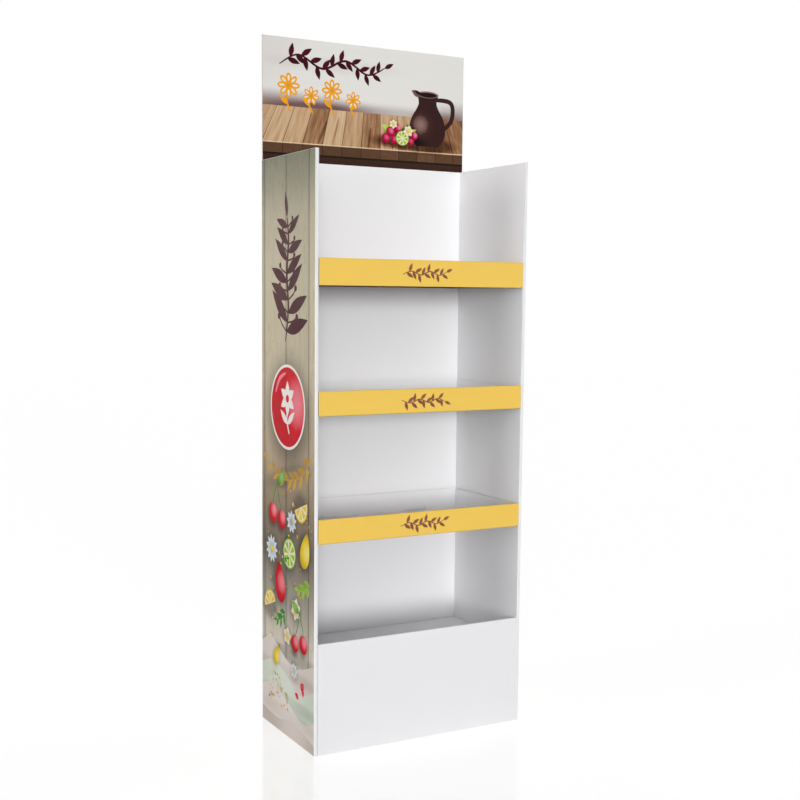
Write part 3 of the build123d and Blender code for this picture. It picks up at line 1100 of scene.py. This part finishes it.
def draw_posy(design, u, foot):
    """Berries, leaves and blossoms laid on the table beside the jug."""
    design.shadow(u, foot - 12, 66, 16, 0.40)
    for turn, length in ((150, 62), (172, 54), (24, 58), (4, 50), (128, 48), (52, 46)):
        outline = leaf(u, foot, length, 0.36 * length, turn)
        design.shape(outline, ink_leaf if turn % 3 else ink_lime, (u, foot + 10, 60, 0.35, 0.72))
    berries = ((-40, -4, 13), (-26, 14, 14), (-14, -9, 12), (-4, 22, 12), (34, -8, 12), (46, 6, 11))
    for du, dv, radius in berries:
        draw_berry(design, u + du, foot + dv, radius, ink_berry)
    draw_citrus(design, u + 10, foot - 2, 20, ink_lime, ink_lime, 12)
    draw_daisy(design, u + 28, foot + 18, 16, 6, ink_cream, ink_yellow, 10)
    draw_daisy(design, u - 18, foot + 34, 13, 6, ink_cream, ink_yellow, 30)


def make_header_print():
    """The header's design above the stand's back."""
    left = header_low.x + PRINT_MARGIN
    foot = WALL_TOP + PRINT_MARGIN
    sheet_of(header_design(), "print_header",
             lambda u, v, lift: (left + u * MM, header_low.y - lift, foot + v * MM))


# ---------------------------------------------------------------- lip ornament

LIP_ORNAMENT = 130.0  # length of the ornament on a lip, in millimetres
LIP_INK = 0.08 * MM  # how far its ink stands proud


def lip_design(flip):
    """A small leafy vine about (0, 0), upside down at -1."""
    design = Design()
    places = ((-1, -3), (-0.6, 5), (-0.2, -4), (0.2, 5), (0.6, -4), (0.92, 4))
    path = [(LIP_ORNAMENT / 2 * share, rise * flip) for share, rise in places]
    draw_sprig(design, path, ink_brown, 3.0, (23, 9), 13, 54, 0.85)
    return design


def make_lips():
    """A vine in the middle of each lip, turned over on every second one."""
    for number, node in enumerate(SHELVES):
        low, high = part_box(node)
        middle = (low.z + high.z) / 2
        name = node.replace("shelf_", "print_lip_")
        sheet_of(lip_design(-1 if number % 2 else 1), name,
                 lambda u, v, lift: (u * MM, FRONT - lift, middle + v * MM), LIP_INK)


# ---------------------------------------------------------------- stage and light

FLOOR_HALF = 14.0
FLOOR_TONE = 0.80  # as the stand's light meets it
FLOOR_SEEN_TONE = 0.30  # as the eye sees it, with the glow added, so that shadows stay
FLOOR_GLOW = 0.882
FLOOR_MIRROR = 0.22  # share of a dull reflection
FLOOR_ROUGHNESS = 0.10
AMBIENT_ALL = 0.12
AMBIENT_TOP = 0.12

# Wide far lamps: name, degrees to the left of the stand's front, height, strength, width in degrees
LAMPS = (
    ("front_lamp", 5, 5, 0.80, 14),
    ("camera_lamp", 24, 5, 0.80, 14),
    ("raised_lamp", 22, 22, 0.38, 40),
    ("corner_lamp", 50, 5, 0.24, 30),
    ("left_lamp", 88, 1, 1.31, 20),
    ("right_lamp", -88, 1, 1.80, 20),
    ("rear_lamp", 180, 3, 1.60, 12),
)


def grey(level):
    return (level, level, level, 1.0)


def make_stage():
    """Pale floor that keeps the stand's shadow and a faint reflection."""
    mesh = bpy.data.meshes.new("floor")
    below = shell_low.z - 0.2 * MM
    corners = [(x * FLOOR_HALF, y * FLOOR_HALF, below) for x, y in ((-1, -1), (1, -1), (1, 1), (-1, 1))]
    mesh.from_pydata(corners, [], [(0, 1, 2, 3)])
    floor = bpy.data.objects.new("floor", mesh)
    bpy.context.scene.collection.objects.link(floor)

    shader = Shader("floor_pale")
    plain = shader.add("BsdfDiffuse", Color=grey(FLOOR_TONE))
    lit = shader.add("BsdfDiffuse", Color=grey(FLOOR_SEEN_TONE))
    glow = shader.add("Emission", Color=FULL, Strength=FLOOR_GLOW)
    both = shader.add("AddShader", in0=lit.outputs[0], in1=glow.outputs[0])
    mirror = shader.add("BsdfGlossy", Color=FULL, Roughness=FLOOR_ROUGHNESS)
    shown = shader.add("MixShader", in0=FLOOR_MIRROR, in1=both.outputs[0], in2=mirror.outputs[0])
    seen = shader.seen_directly()
    mixed = shader.add("MixShader", in0=seen, in1=plain.outputs[0], in2=shown.outputs[0])
    shader.set(shader.tree.nodes["Material Output"], Surface=mixed.outputs[0])
    mesh.materials.append(shader.material)


def make_light():
    """Even soft light: a dim surround, a little brighter above, seen as white, and wide lamps all round."""
    world = bpy.data.worlds.new("surround")
    world.use_nodes = True
    bpy.context.scene.world = world
    sky = Nodes(world.node_tree)
    way = sky.add("TexCoord").outputs["Generated"]
    height = sky.math("MAXIMUM", sky.add("SeparateXYZ", Vector=way).outputs[2], 0.0)
    ambient = sky.tree.nodes["Background"]
    strength = sky.math("ADD", sky.math("MULTIPLY", height, AMBIENT_TOP), AMBIENT_ALL)
    sky.set(ambient, Color=FULL, Strength=strength)
    white = sky.add("Background", Color=FULL, Strength=1.0)
    seen = sky.seen_directly()
    mixed = sky.add("MixShader", in0=seen, in1=ambient.outputs[0], in2=white.outputs[0])
    sky.set(sky.tree.nodes["World Output"], Surface=mixed.outputs[0])
    for lamp in LAMPS:
        add_lamp(*lamp)


def add_lamp(name, azimuth, height, strength, width):
    """A sun lamp that shines towards the stand from the given direction."""
    data = bpy.data.lights.new(name, "SUN")
    data.energy = strength
    data.angle = math.radians(width)
    left, up = math.radians(azimuth), math.radians(height)
    towards = Vector((math.sin(left) * math.cos(up), math.cos(left) * math.cos(up), -math.sin(up)))
    lamp = bpy.data.objects.new(name, data)
    lamp.rotation_mode = "QUATERNION"
    lamp.rotation_quaternion = towards.to_track_quat("-Z", "Y")
    bpy.context.scene.collection.objects.link(lamp)


# ---------------------------------------------------------------- assembly

make_camera()
make_stage()
make_light()
make_shell()
make_header()
for shelf in SHELVES:
    make_shelf(shelf)
make_base()
for divider in DIVIDERS:
    make_divider(divider)
make_sides()
make_header_print()
make_lips()

bpy.context.scene.view_settings.view_transform = "Standard"
